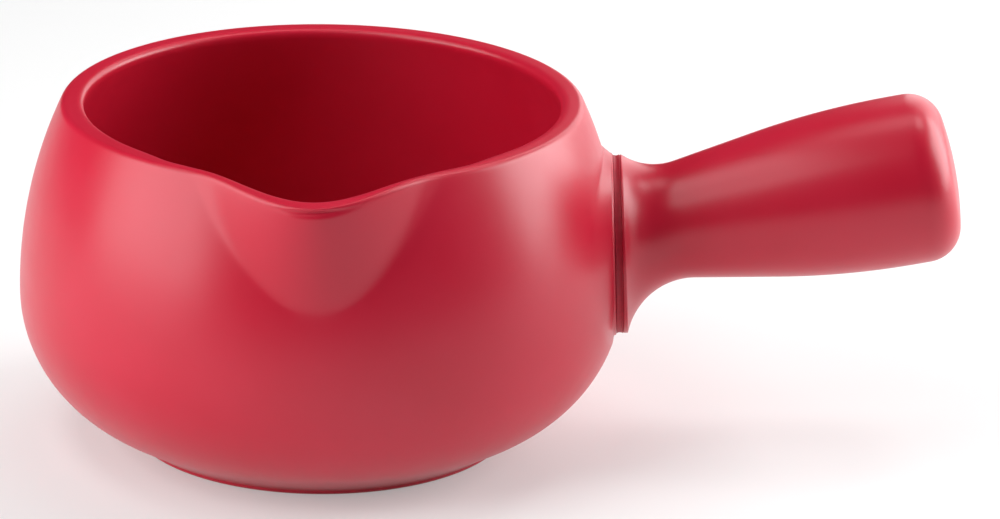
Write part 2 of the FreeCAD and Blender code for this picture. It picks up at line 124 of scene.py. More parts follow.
# %% Distance to the lip
SPOUT_TURN = math.radians(0.8)
SPOUT_REACH, SPOUT_DROP, SPOUT_HALF_WIDTH = 70.0, 26.4, 24.8
TIP_WIDTH, TIP_GROWTH = 12.0, 3.0
BEND_BACK, LEAST_LIP = 0.1, 0.02
spout_foot = RIM_HEIGHT - SPOUT_DROP
SPOUT_SLOPE = (SPOUT_REACH - turned_radius(spout_foot, 0)) / SPOUT_DROP


def lip_tip(height, inset):
    """The lip's furthest distance: a straight line that leans out, moved in by inset."""
    return SPOUT_REACH - inset - (RIM_HEIGHT - height) * SPOUT_SLOPE


def lip_reach(turn, height, inset):
    """Where a ray meets the hyperbola out = flat - spread sqrt(across^2 + blunt^2).

    turn is the ray's angle from the middle of the lip. spread is set so that the V meets the wall
    half a lip's width from the middle, and the width shrinks with the root of the height left.
    blunt is TIP_WIDTH at the rim and grows downwards, so that the V becomes a round U. Beyond the
    crease the V is bent in by the square of the distance, so that it stays in the wall. In the lowest
    LEAST_LIP of the lip's height, and below it, the V keeps one shape.
    """
    upper = np.maximum(height, spout_foot + LEAST_LIP * SPOUT_DROP)
    half = (SPOUT_HALF_WIDTH + inset) * np.sqrt((upper - spout_foot) / SPOUT_DROP)
    depth = lip_tip(upper, inset) - np.sqrt(turned_radius(upper, inset) ** 2 - half ** 2)
    blunt = TIP_WIDTH * (1 + TIP_GROWTH * (RIM_HEIGHT - upper) / SPOUT_DROP)
    spread = depth / (np.hypot(blunt, half) - blunt)
    flat = lip_tip(height, inset) + spread * blunt
    ahead, aside = np.cos(turn), np.sin(turn)
    under = (flat * aside) ** 2 + (ahead ** 2 - (spread * aside) ** 2) * blunt ** 2
    root = np.sqrt(np.maximum(under, 0))
    reach = (flat ** 2 - (spread * blunt) ** 2) / (flat * ahead + spread * root)
    beyond = np.maximum(np.abs(turned_radius(height, inset) * aside) - half, 0)
    return np.where((ahead > 0) & (height > BELLY_HEIGHT), reach - BEND_BACK * beyond ** 2, 0)


print("the lip leans out", round(math.degrees(math.atan(SPOUT_SLOPE)), 1), "degrees")

# %% [markdown]
# ## The creases beside the lip
# The larger of two distances has a knife edge where they cross. A soft maximum rounds it, like a
# finger drawn down the crease: outside the crease stays crisp, inside it is broader. Two small
# touches finish the lip. Its edge is rolled down, more outside than inside, and under the tip the
# wall is hollow, where the tool curled the clay over.

# %% Radius of wall and lip together
OUTER_CREASE, INNER_CREASE, LOW_CREASE = 0.7, 2.0, 0.25
OUTER_DIP, INNER_DIP = 2.2, 1.3
DIP_TURN, DIP_SPAN = math.radians(-1.7), math.radians(22.5)
CURL_HEIGHT, CURL_SPREAD, CURL_DEPTH, CURL_TURN = 77.2, 0.8, 1.0, math.radians(5)


def ease(value, low, high):
    """0 at low, 1 at high, and a smooth S between them."""
    share = np.clip((value - low) / (high - low), 0, 1)
    return share * share * (3 - 2 * share)


def bowl_radius(turn, height, inset, crease):
    """Soft maximum of wall and lip: soft ln(e^(wall / soft) + e^(lip / soft)).

    soft is crease at the rim and LOW_CREASE at the foot of the lip.
    """
    soft = LOW_CREASE + (crease - LOW_CREASE) * ease(height, spout_foot, RIM_HEIGHT)
    reach = lip_reach(turn - SPOUT_TURN, height, inset)
    return soft * np.logaddexp(turned_radius(height, inset) / soft, reach / soft)


def curl(turn, height):
    """Depth of the hollow under the lip's edge, a bell in height and in direction."""
    across, up = (turn - SPOUT_TURN) / CURL_TURN, (height - CURL_HEIGHT) / CURL_SPREAD
    return CURL_DEPTH * np.exp(-across ** 2 - up ** 2)


def sunk(turn, height, dip):
    """Height of a point after the lip's edge is rolled down, by dip at the rim and less below it.

    To both sides the dip runs out as cos^2, and is gone DIP_SPAN from its middle.
    """
    bell = np.cos(np.clip((turn - DIP_TURN) / DIP_SPAN, -1, 1) * math.pi / 2) ** 2
    return height - dip * bell * ease(height, spout_foot, RIM_HEIGHT)


tip = bowl_radius(SPOUT_TURN, RIM_HEIGHT, 0, OUTER_CREASE)
print("the lip reaches", np.round(tip, 2), "mm from the axis")

# %% [markdown]
# ## The foot ring
# A thrown or cast pot stands on a ring, not on its whole base, so that it doesn't rock. The recess
# and the ring are straight lines with rounded corners: a Bevel modifier would do the same, but the
# profile already knows where its corners are. Outside, a wide cove leads from the ring to the hip,
# so that the mould lets the casting go. It is a Bezier arc that leaves the hip in the hip's own
# direction and arrives upright at the ring.

# %% Profile of the foot
FOOT_RADIUS, FOOT_SIDE, COVE_RADIUS = 42.9, 0.9, 52.0
FOOT_RING, FOOT_RECESS = 4.5, 1.5
RECESS_EDGE, RING_EDGE, RECESS_MARGIN = 0.6, 0.8, 2.0
RECESS_ROWS, COVE_ROWS = 7, 15


def bezier(t, start, corner, end):
    """A curve that leaves start towards corner and comes to end from it, as t goes from 0 to 1.

    It is (1 - t)^2 start + 2 t (1 - t) corner + t^2 end.
    """
    return (1 - t) ** 2 * start + 2 * t * (1 - t) * corner + t ** 2 * end


def rounded(corners, radii, steps=6):
    """A profile through corner points, each inner corner replaced by an arc of its radius.

    The arc's middle lies radius / sin(half the corner's angle) away, on the line that halves it.
    """
    corners = np.array(corners, float)
    parts = [corners[:1]]
    for before, corner, after, radius in zip(corners, corners[1:], corners[2:], radii):
        back = (before - corner) / np.linalg.norm(before - corner)
        ahead = (after - corner) / np.linalg.norm(after - corner)
        half = math.acos(np.clip(back @ ahead, -1, 1)) / 2
        middle = (back + ahead) / np.linalg.norm(back + ahead)
        centre = corner + middle * radius / math.sin(half)
        swing = np.linspace(half - math.pi / 2, math.pi / 2 - half, steps)[:, None]
        across = (ahead - back) / np.linalg.norm(ahead - back)
        parts.append(centre + radius * (np.sin(swing) * across - np.cos(swing) * middle))
    return np.vstack(parts + [corners[-1:]])


ring_inside = FOOT_RADIUS - FOOT_RING
recess_radii = np.linspace(0, ring_inside - RECESS_MARGIN, RECESS_ROWS)
recess = np.column_stack([recess_radii, np.full(recess_radii.size, FOOT_RECESS)])
ring = rounded(
    [recess[-1], (ring_inside, FOOT_RECESS), (ring_inside, 0), (FOOT_RADIUS, 0), (FOOT_RADIUS, FOOT_SIDE)],
    [RECESS_EDGE, RING_EDGE, RING_EDGE],
)
cove_swing = math.asin((COVE_RADIUS - BELLY_RADIUS + HIP_BEND) / HIP_BEND)
cove_start = BELLY_HEIGHT - HIP_BEND * math.cos(cove_swing)
cove_corner = cove_start - (COVE_RADIUS - FOOT_RADIUS) * math.tan(cove_swing)
t = np.linspace(0, 1, COVE_ROWS)[1:-1]
cove = np.column_stack([
    bezier(t, FOOT_RADIUS, FOOT_RADIUS, COVE_RADIUS),
    bezier(t, FOOT_SIDE, cove_corner, cove_start),
])
foot = np.vstack([recess, ring[1:], cove])
print("foot profile has", len(foot), "points, and the cove is", round(cove_start, 1), "mm high")

# %% [markdown]
# ## Up the outer wall and over the rim
# The rows climb the hip and the shoulder. The rim is cut flat while the clay is leather hard, and a
# damp sponge takes off its two edges, the inner one more than the outer one. Each edge is a Bezier
# arc between wall and rim, worked out in every direction at once, so it follows the lip. Columns
# stand closer together at the lip, where the crease needs them.

# %% Rows of the outside
COLUMNS, GATHER = 400, 0.6
HIP_ROWS, SHOULDER_ROWS, OUTER_EDGE_ROWS, ROW_GATHER = 36, 66, 8, 0.85
OUTER_EDGE = 1.0
even = np.linspace(-math.pi, math.pi, COLUMNS, endpoint=False)
turns = (even - GATHER * np.sin(even))[None, :]

hip_heights = BELLY_HEIGHT - HIP_BEND * np.cos(np.linspace(cove_swing, math.pi / 2, HIP_ROWS))
shoulder_swing = math.asin((RIM_HEIGHT - OUTER_EDGE - BELLY_HEIGHT) / SHOULDER_BEND)
shoulder_steps = np.linspace(0, 1, SHOULDER_ROWS)[1:] ** ROW_GATHER
shoulder_heights = BELLY_HEIGHT + SHOULDER_BEND * np.sin(shoulder_swing * shoulder_steps)
outer_heights = np.concatenate([hip_heights, shoulder_heights])[:, None]
outer_radii = bowl_radius(turns, outer_heights, 0, OUTER_CREASE) - curl(turns, outer_heights)

t = np.linspace(0, 1, OUTER_EDGE_ROWS)[1:, None]
rim_out = bowl_radius(turns, RIM_HEIGHT, 0, OUTER_CREASE)
outer_edge_radii = bezier(t, outer_radii[-1], rim_out, rim_out - OUTER_EDGE)
outer_edge_heights = bezier(t, RIM_HEIGHT - OUTER_EDGE, RIM_HEIGHT, RIM_HEIGHT)
print("outer wall has", len(outer_heights), "rows")

# %% [markdown]
# ## Down the inside
# Inside, the wall is the same shape, one wall's thickness in. The rim's inner edge is as wide as the
# sponge makes it, or a share of the rim where the lip leaves less room. Below the belly the wall
# turns in one round sweep to a flat floor, because a spoon has to reach everywhere.

# %% Rows over the rim and down the inner wall
INNER_EDGE, MOST_OF_RIM = 2.8, 0.8
TOP_ROWS, INNER_EDGE_ROWS, INNER_ROWS = 5, 9, 44
rim_in = bowl_radius(turns, RIM_HEIGHT, WALL, INNER_CREASE)
share = np.linspace(0, 1, TOP_ROWS)[1:, None]
inner_run = np.minimum(INNER_EDGE, (rim_out - OUTER_EDGE - rim_in) * MOST_OF_RIM)
top_radii = (1 - share) * (rim_out - OUTER_EDGE) + share * (rim_in + inner_run)
top_heights = np.full(share.shape, RIM_HEIGHT)

inner_heights = np.linspace(RIM_HEIGHT - INNER_EDGE, BELLY_HEIGHT, INNER_ROWS)[:, None]
inner_radii = bowl_radius(turns, inner_heights, WALL, INNER_CREASE)
t = np.linspace(0, 1, INNER_EDGE_ROWS)[1:-1, None]
inner_edge_radii = bezier(t, top_radii[-1], rim_in, inner_radii[0])
inner_edge_heights = bezier(t, RIM_HEIGHT, RIM_HEIGHT, RIM_HEIGHT - INNER_EDGE)
print("the rim's inner edge is", round(inner_run.min(), 1), "to", round(inner_run.max(), 1), "mm wide")

# %% Rows of the floor inside
FLOOR_HEIGHT = 5.5
BASIN_ROWS, FLOOR_ROWS = 24, 8
basin_bend = BELLY_HEIGHT - FLOOR_HEIGHT
basin_swing = np.linspace(0, math.pi / 2, BASIN_ROWS)[1:]
floor_radius = BELLY_RADIUS - WALL - basin_bend
floor_radii = np.linspace(floor_radius, 0, FLOOR_ROWS)[1:]
basin_radii = np.concatenate([floor_radius + basin_bend * np.cos(basin_swing), floor_radii])[:, None]
basin_heights = np.concatenate([
    BELLY_HEIGHT - basin_bend * np.sin(basin_swing), np.full(floor_radii.size, FLOOR_HEIGHT),
])[:, None]
print("floor inside is", round(2 * floor_radius, 1), "mm across")

# %% [markdown]
# ## The bowl as one table
# All rows, from the middle of the base over the rim to the middle of the floor inside, go into one
# table, so outside and inside are one closed skin. A Solidify modifier would do for a plain wall,
# but this one is thinner in the floor and softer inside the lip than outside. The lip's dip is set
# here too: over the rim it passes from the outer edge's depth to the inner edge's.

# %% Table of the bowl's points
level = np.zeros_like(turns)
radii = np.vstack([
    foot[:, :1] + level, outer_radii, outer_edge_radii, top_radii, inner_edge_radii, inner_radii,
    basin_radii + level,
])
over_radii = np.vstack([top_radii, inner_edge_radii])
over = (over_radii - inner_radii[0]) / (rim_out - OUTER_EDGE - inner_radii[0])
heights = np.vstack([
    foot[:, 1:] + level,
    sunk(turns, np.vstack([outer_heights, outer_edge_heights]), OUTER_DIP),
    sunk(turns, np.vstack([top_heights, inner_edge_heights]), INNER_DIP + over * (OUTER_DIP - INNER_DIP)),
    sunk(turns, inner_heights, INNER_DIP),
    basin_heights + level,
])
bowl_points = np.stack([radii * np.sin(turns), -radii * np.cos(turns), heights], axis=-1)
bowl_ids = number_points(bowl_points)
bowl_quads = ring_quads(bowl_ids)
print("bowl rows and columns", bowl_ids.shape)

# %% [markdown]
# ## The boss
# The handle's seat is a flat round boss on the belly, tilted a few degrees upwards. A boolean
# would leave thin triangles that shade badly, so the boss is grown from the wall instead: a window
# of quads is taken out of the skin, and rings of points lead from the window's edge to a circle,
# up a fillet and over a rounded edge to the flat face. Each ring before the fillet lies on the
# wall, at a depth found by halving an interval until it closes in on the surface.

# %% Seat of the handle
DEEPEST_WALL, NEAREST_WALL, HALVINGS = -25.0, 6.0, 40
SEAT_TILT = math.radians(2.4)
SEAT = np.array([65.85, 0, 44.85])
outward = np.array([math.cos(SEAT_TILT), 0, math.sin(SEAT_TILT)])
upward = np.array([-math.sin(SEAT_TILT), 0, math.cos(SEAT_TILT)])
sideways = np.array([0, 1.0, 0])


def on_seat(across, up, depth):
    """The point across, up and out from the middle of the boss's face."""
    flat = np.multiply.outer(across, sideways) + np.multiply.outer(up, upward)
    return SEAT + flat + np.multiply.outer(depth, outward)


def wall_depth(across, up):
    """How far the wall lies out from the seat's plane, by bisection on the radius of the point."""
    low, high = np.full(across.shape, DEEPEST_WALL), np.full(across.shape, NEAREST_WALL)
    for _ in range(HALVINGS):
        middle = (low + high) / 2
        point = on_seat(across, up, middle)
        beyond = np.hypot(point[..., 0], point[..., 1]) > turned_radius(point[..., 2], 0)
        low, high = np.where(beyond, low, middle), np.where(beyond, middle, high)
    return (low + high) / 2


print("the wall stands", np.round(wall_depth(np.zeros(1), np.zeros(1)), 2), "mm out of the seat's middle")

# %% Window in the skin
WINDOW_WIDTH, WINDOW_HEIGHT = 72.0, 51.0


def window_edge(ids, rows, columns):
    """Point numbers round a window of a table, once round from its lower left corner."""
    low, high = rows
    left, right = columns
    there = [ids[low, left:right], ids[low:high, right]]
    back = [ids[high, right:left:-1], ids[high:low:-1, left]]
    return np.concatenate(there + back)


tall = np.flatnonzero(np.abs(outer_heights[:, 0] - SEAT[2]) < WINDOW_HEIGHT / 2)
wide = np.flatnonzero(np.abs(turns[0] - math.pi / 2) < WINDOW_WIDTH / 2 / BELLY_RADIUS)
window_rows, window_columns = len(foot) + tall[[0, -1]], wide[[0, -1]]
edge_ids = window_edge(bowl_ids, window_rows, window_columns)
edge_points = bowl_points.reshape(-1, 3)[edge_ids] - SEAT
edge_across, edge_up = edge_points @ sideways, edge_points @ upward
angle = np.arctan2(edge_up, edge_across)
print("the window round the boss has", len(edge_ids), "points")

# %% [markdown]
# ## How the boss runs out
# At its top the boss stands two millimetres out of the belly, with a tight corner between them, and
# at its bottom the two are nearly flush. At its sides a long ramp leads from the boss down to the
# belly. So the fillet's width, the edge's roundness and the lean of the flank all go with the square
# of the cosine round the boss. A Bevel modifier has one width all round. The ramp leaves the wall in
# the wall's own direction, so that the glaze shows no line round it.

# %% Rings on the wall
BOSS_RADIUS, TOP_FILLET, SIDE_FILLET = 20.6, 0.6, 9.0
LEAST_SIDE, WALL_RINGS = 1e-6, 9
side = np.maximum(np.cos(angle) ** 2, LEAST_SIDE)
foot_circle = BOSS_RADIUS + TOP_FILLET + (SIDE_FILLET - TOP_FILLET) * side
share = np.linspace(0, 1, WALL_RINGS)[1:, None]
ring_across = (1 - share) * edge_across + share * foot_circle * np.cos(angle)
ring_up = (1 - share) * edge_up + share * foot_circle * np.sin(angle)
wall_rings = on_seat(ring_across, ring_up, wall_depth(ring_across, ring_up))
print("the boss takes up", round(2 * foot_circle.max(), 1), "mm of the belly's width")

# %% Edge and fillet of the boss
SEAM_LEAN, TOP_EDGE, SIDE_EDGE = 0.55, 0.4, 1.0
NUDGE, MOST_OF_RUN = 0.1, 0.8
EDGE_RINGS, FILLET_RINGS = 6, 12
seam_edge = TOP_EDGE + (SIDE_EDGE - TOP_EDGE) * side
steep = math.pi / 2 - SEAM_LEAN * side
arc = np.linspace(0, 1, EDGE_RINGS)[:, None]
edge_radius = BOSS_RADIUS - seam_edge * (1 - np.sin(steep * (1 - arc)))
edge_depth = seam_edge * (np.cos(steep * (1 - arc)) - 1)

start_depth = wall_depth(foot_circle * np.cos(angle), foot_circle * np.sin(angle))
nearer = foot_circle - NUDGE
wall_slope = (wall_depth(nearer * np.cos(angle), nearer * np.sin(angle)) - start_depth) / NUDGE
ramp_run = foot_circle - edge_radius[0]
climb = edge_depth[0] - start_depth - wall_slope * ramp_run
bend_run = np.clip(climb / (wall_slope - np.tan(steep)), 0, MOST_OF_RUN * ramp_run)
bend_depth = edge_depth[0] - bend_run * np.tan(steep)
t = np.linspace(0, 1, FILLET_RINGS)[1:-1, None]
fillet_radius = bezier(t, foot_circle, edge_radius[0] + bend_run, edge_radius[0])
fillet_depth = bezier(t, start_depth, bend_depth, edge_depth[0])
print("the ramp beside the boss is up to", round(ramp_run.max(), 1), "mm long")

# %% Bowl casting
FACE_RADII = np.array([[16.0], [8.0], [0.0]])
flat = np.zeros_like(angle)
boss_radius = np.vstack([fillet_radius, edge_radius, FACE_RADII + flat])
boss_depth = np.vstack([fillet_depth, edge_depth, 0 * FACE_RADII + flat])
boss_rings = on_seat(boss_radius * np.cos(angle), boss_radius * np.sin(angle), boss_depth)

patch = np.vstack([wall_rings, boss_rings])
patch_quads = ring_quads(np.vstack([edge_ids, number_points(patch, bowl_ids.size)]))
kept = np.ones(bowl_quads.shape[:2], bool)
kept[slice(*window_rows), slice(*window_columns)] = False
bowl = new_piece(
    "bowl_casting",
    np.vstack([bowl_points.reshape(-1, 3), patch.reshape(-1, 3)]),
    np.vstack([bowl_quads[kept], patch_quads.reshape(-1, 4)]),
)

# %% [markdown]
# ## The grip
# The handle is turned too, about an axis that rises more steeply than the seat faces, and that
# starts above the seat's middle. From the neck outwards the profile is a straight taper, a slow
# club curve that fills the hand, a rounded corner and a shallow dome. Each curve starts where the
# one before it ends, in the same direction, so that the glaze shows no kink. A Screw modifier could
# turn it, but the root isn't round about the same axis, so the whole handle is one table of rings.

# %% Profile of the grip
GRIP_TILT, GRIP_RISE, SLIP_THICKNESS = math.radians(11.6), 3.25, 1.5
NECK_RADIUS, NECK_PLACE, NECK_BEND, TAPER = 13.18, 12.1, 14.2, math.radians(9.5)
CLUB_PLACE, CLUB_BEND, END_ROUND, END_DOME, GRIP_LENGTH = 64.1, 188.0, 8.0, 75.0, 76.28
NECK_ROWS, TAPER_ROWS, CLUB_ROWS, CORNER_ROWS, END_ROWS = 5, 19, 22, 16, 12
taper_start = NECK_PLACE + NECK_BEND * math.sin(TAPER)
taper_radius = NECK_RADIUS + NECK_BEND * (1 - math.cos(TAPER))
swell_start = CLUB_PLACE - CLUB_BEND * math.sin(TAPER)
swell_radius = taper_radius + (swell_start - taper_start) * math.tan(TAPER)
club_radius = swell_radius + CLUB_BEND * (1 - math.cos(TAPER))
dome_centre = GRIP_LENGTH - END_DOME
corner_centre = dome_centre + math.sqrt((END_DOME - END_ROUND) ** 2 - (club_radius - END_ROUND) ** 2)
dome_swing = math.atan2(club_radius - END_ROUND, corner_centre - dome_centre)

neck_swing = np.linspace(0, TAPER, NECK_ROWS)[1:]
taper_line = np.linspace(taper_start, swell_start, TAPER_ROWS)[1:-1]
club_swing = np.linspace(TAPER, 0, CLUB_ROWS)
corner_swing = np.linspace(math.pi / 2, dome_swing, CORNER_ROWS)
end_swing = np.linspace(dome_swing, 0, END_ROWS)[1:]
grip_along = np.concatenate([
    NECK_PLACE + NECK_BEND * np.sin(neck_swing),
    taper_line,
    CLUB_PLACE - CLUB_BEND * np.sin(club_swing),
    corner_centre + END_ROUND * np.cos(corner_swing),
    dome_centre + END_DOME * np.cos(end_swing),
])[:, None]
grip_radius = np.concatenate([
    NECK_RADIUS + NECK_BEND * (1 - np.cos(neck_swing)),
    taper_radius + (taper_line - taper_start) * math.tan(TAPER),
    club_radius - CLUB_BEND * (1 - np.cos(club_swing)),
    club_radius - END_ROUND + END_ROUND * np.sin(corner_swing),
    END_DOME * np.sin(end_swing),
])[:, None]
print("grip from", round(2 * NECK_RADIUS, 1), "mm at the neck to", round(2 * club_radius, 1), "mm")

# %% [markdown]
# ## Flange and flare
# The flange is a circle square to the seat and the neck is a circle square to the grip's axis.
# Between them each line along the handle follows an arc of its own, which passes through the
# flange's edge and is level at the neck. That gives the long curve below and the short one above
# that a moulded handle has where it swings up from its root.

# %% Rings of the flange
FLANGE_RADIUS, FLANGE_EDGE = 20.1, 0.3
HANDLE_COLUMNS = 160
around = np.linspace(0, 2 * math.pi, HANDLE_COLUMNS, endpoint=False)[None, :]
axis = np.array([math.cos(GRIP_TILT), 0, math.sin(GRIP_TILT)])
above = np.array([-math.sin(GRIP_TILT), 0, math.cos(GRIP_TILT)])
grip_origin = on_seat(0.0, GRIP_RISE, SLIP_THICKNESS)


def seat_rings(radii, depths):
    """Circles about the middle of the seat, each with its radius and its depth out of the seat."""
    radii, depths = radii + 0 * around, depths + 0 * around
    return on_seat(radii * np.sin(around), radii * np.cos(around), depths)


def on_grip(along, radius, turn):
    """The point along the grip's axis, at a radius, turned from straight above towards +Y."""
    up, across = radius * np.cos(turn), radius * np.sin(turn)
    off_axis = np.multiply.outer(up, above) + np.multiply.outer(across, sideways)
    return grip_origin + np.multiply.outer(along, axis) + off_axis


quarter = arc * math.pi / 2
back_radii = np.vstack([FACE_RADII[::-1], FLANGE_RADIUS - FLANGE_EDGE * (1 - np.sin(quarter))])
back_depths = SLIP_THICKNESS + np.vstack([0 * FACE_RADII, FLANGE_EDGE * (1 - np.cos(quarter))])
flange_rings = seat_rings(back_radii, back_depths)
print("flange has", len(flange_rings), "rings")

# %% Rings of the flare
FLANGE_ABOVE, FLANGE_BELOW, FLARE_RINGS = 0.5, 1.1, 22
flange_thickness = FLANGE_ABOVE + (FLANGE_BELOW - FLANGE_ABOVE) * np.sin(around / 2) ** 2
crown_depth = SLIP_THICKNESS + flange_thickness
crown = seat_rings(FLANGE_RADIUS, crown_depth)[0] - grip_origin
crown_along = crown @ axis
crown_turn = np.arctan2(crown @ sideways, crown @ above)
flare_height = np.hypot(crown @ sideways, crown @ above) - NECK_RADIUS
flare_run = NECK_PLACE - crown_along
flare_bend = (flare_height ** 2 + flare_run ** 2) / (2 * flare_height)
flare_swing = np.arcsin(flare_run / flare_bend)


def flare_point(share):
    """The point a share of the way along each line's arc, from the flange's edge to the neck."""
    swing = (1 - share) * flare_swing
    along = NECK_PLACE - flare_bend * np.sin(swing)
    return on_grip(along, NECK_RADIUS + flare_bend * (1 - np.cos(swing)), crown_turn + 0 * share)


before = seat_rings(FLANGE_RADIUS, crown_depth - FLANGE_EDGE / 2)
after_share = FLANGE_EDGE / (flare_bend * flare_swing)
t = np.linspace(0, 1, EDGE_RINGS)[1:, None, None]
edge_rings = bezier(t, before, crown + grip_origin, flare_point(after_share))
flare_share = np.linspace(0, 1, FLARE_RINGS)[1:, None]
flare_rings = flare_point(after_share + (1 - after_share) * flare_share)
grip_rings = on_grip(grip_along + 0 * around, grip_radius + 0 * around, crown_turn + 0 * grip_along)
handle_points = np.vstack([flange_rings, edge_rings, flare_rings, grip_rings])
print("handle rows and columns", handle_points.shape[:2])

# %% [markdown]
# ## The firing vent
# A closed hollow would burst in the kiln, so the handle has a pinhole on its underside. It is made
# like the boss, the other way round: a small window in the skin, and rings that lead from it to a
# circle, over a soft edge and down a short blind hole.

# %% Window for the vent
VENT_PLACE, VENT_RADIUS, VENT_EDGE, VENT_DEPTH = 20.5, 1.25, 0.4, 4.4
VENT_WINDOW, VENT_TURN = 8.4, math.radians(18)
first_grip_row = len(handle_points) - len(grip_along)
near = np.flatnonzero(np.abs(grip_along[:, 0] - VENT_PLACE) < VENT_WINDOW / 2)
vent_rows = first_grip_row + near[[0, -1]]
shift = around.size // 2 - int(np.argmax(np.abs(crown_turn)))
handle_ids = np.roll(number_points(handle_points), shift, axis=1)
below = np.roll(np.abs(crown_turn) > math.pi - VENT_TURN, shift)
vent_columns = np.flatnonzero(below)[[0, -1]]
vent_edge = window_edge(handle_ids, vent_rows, vent_columns)
print("the window round the vent has", len(vent_edge), "points")

# %% Rings of the vent
VENT_RINGS, VENT_TAPER = 6, 0.9


def underside(along, across):
    """A point of the underside's taper, by its place along the grip and its distance round it."""
    radius = taper_radius + (along - taper_start) * math.tan(TAPER)
    return on_grip(along, radius, math.pi + across / radius)


edge = handle_points.reshape(-1, 3)[vent_edge] - grip_origin
edge_along = edge @ axis
edge_turn = np.arctan2(edge @ sideways, edge @ above) % (2 * math.pi) - math.pi
edge_round = edge_turn * np.hypot(edge @ sideways, edge @ above)
spin = np.arctan2(edge_round, edge_along - VENT_PLACE)
share = np.linspace(0, 1, VENT_RINGS)[1:, None]
mouth = VENT_RADIUS + VENT_EDGE
side_rings = underside(
    (1 - share) * edge_along + share * (VENT_PLACE + mouth * np.cos(spin)),
    (1 - share) * edge_round + share * mouth * np.sin(spin),
)
bend = quarter[1:]
bore_radii = [[VENT_RADIUS], [VENT_RADIUS * VENT_TAPER], [0]]
bore_depths = [[VENT_DEPTH / 2], [VENT_DEPTH], [VENT_DEPTH]]
hole_radius = np.vstack([mouth - VENT_EDGE * np.sin(bend), bore_radii])
hole_depth = np.vstack([VENT_EDGE * (1 - np.cos(bend)), bore_depths])
hole_rings = underside(VENT_PLACE + hole_radius * np.cos(spin), hole_radius * np.sin(spin))
hole_points = np.vstack([side_rings, hole_rings + hole_depth[..., None] * above])
print("the vent is", 2 * VENT_RADIUS, "mm wide and", VENT_DEPTH, "mm deep")

# %% Handle casting
handle_quads = ring_quads(handle_ids)
kept = np.ones(handle_quads.shape[:2], bool)
kept[slice(*vent_rows), slice(*vent_columns)] = False
hole_quads = ring_quads(np.vstack([vent_edge, number_points(hole_points, handle_ids.size)]))
handle = new_piece(
    "handle_casting",
    np.vstack([handle_points.reshape(-1, 3), hole_points.reshape(-1, 3)]),
    np.vstack([handle_quads[kept], hole_quads.reshape(-1, 4)]),
)

# %% [markdown]
# ## The slip in the seam
# The slip shows only as the floor of the seam between boss and flange. It shrinks as it dries, so
# its outer face is a shallow hollow, the parabola 4 x (1 - x) across the seam. A torus would bulge
# out of the seam, so the ring is a closed profile carried once round the seat.

# %% Ring of slip
SLIP_RADIUS, SLIP_HOLLOW, SLIP_WIDTH, SLIP_ROWS = 20.15, 0.2, 6.0, 9
across = np.linspace(0, 1, SLIP_ROWS)
hollow = SLIP_HOLLOW * 4 * across * (1 - across)
inner_radius = SLIP_RADIUS - SLIP_WIDTH
ring_profile = np.vstack([
    np.column_stack([SLIP_RADIUS - hollow, SLIP_THICKNESS * across]),
    [[inner_radius, SLIP_THICKNESS], [inner_radius, 0], [SLIP_RADIUS, 0]],
])
slip_points = seat_rings(ring_profile[:, :1], ring_profile[:, 1:])
slip = new_piece("seam_slip_ring", slip_points, ring_quads(number_points(slip_points)))

# %% [markdown]
# ## Colours and nodes
# Colours are written as the sRGB codes of a paint chart, and shaders want linear light, so one
# function converts them. Another adds a node with its settings and its links, which keeps a
# material as short as a recipe.

# %% Helpers for materials
def linear(code):
    """An sRGB hex colour as linear RGBA."""
    channels = np.array([int(code[i:i + 2], 16) for i in (1, 3, 5)]) / 255
    values = np.where(channels <= 0.04045, channels / 12.92, ((channels + 0.055) / 1.055) ** 2.4)
    return (*values.tolist(), 1.0)


def new_material(name):
    """A material with an empty node tree."""
    material = bpy.data.materials.new(name)
    material.use_nodes = True
    material.node_tree.nodes.clear()
    return material, material.node_tree


def add_node(tree, kind, inputs, **settings):
    """A node with these settings. An input takes a value, or a link from another node's output."""
    node = tree.nodes.new("ShaderNode" + kind)
    for name, value in settings.items():
        setattr(node, name, value)
    for name, value in inputs.items():
        if isinstance(value, bpy.types.NodeSocket):
            tree.links.new(value, node.inputs[name])
        else:
            node.inputs[name].default_value = value
    return node


PER_MM = 1000.0
print("one millimetre of pattern is a scale of", PER_MM)

# %% [markdown]
# ## The red glaze
# A stoneware glaze is a thin glassy coat over clay: the colour comes back diffusely from inside
# it and the gloss from its surface, so one Principled shader with a glass-like IOR does both. The
# glaze is satin rather than mirror bright. Three things keep it from looking like plastic: the
# colour varies a little where the coat is thicker, the surface waves slightly over a centimetre
# or so, and tiny pits catch the light. All of them are noise in Object coordinates.

# %% Satin red glaze
# Broad soft highlights with blurred edges, and a colour that deepens slightly where the coat pools.
POOL_SIZE, SATIN_SIZE, WAVE_SIZE, PIT_SIZE = 26.0, 5.0, 18.0, 0.9
GLOSSIEST, DULLEST, GLASS_IOR = 0.32, 0.35, 1.5
glaze, tree = new_material("satin_red_glaze_on_stoneware")
place = add_node(tree, "TexCoord", {}).outputs["Object"]
pooling = add_node(tree, "TexNoise", {"Vector": place, "Scale": PER_MM / POOL_SIZE, "Detail": 2.0})
shade = add_node(tree, "ValToRGB", {"Fac": pooling.outputs["Fac"]})
for stop, (position, code) in zip(shade.color_ramp.elements, [(0.3, "#BE1430"), (0.7, "#C21A36")]):
    stop.position, stop.color = position, linear(code)
satin = add_node(tree, "TexNoise", {"Vector": place, "Scale": PER_MM / SATIN_SIZE, "Detail": 4.0})
sheen = add_node(tree, "MapRange", {
    "Value": satin.outputs["Fac"], "From Min": 0.3, "From Max": 0.7,
    "To Min": GLOSSIEST, "To Max": DULLEST})
wave = add_node(tree, "TexNoise", {"Vector": place, "Scale": PER_MM / WAVE_SIZE, "Detail": 1.0})
pits = add_node(tree, "TexNoise", {"Vector": place, "Scale": PER_MM / PIT_SIZE, "Detail": 2.0})
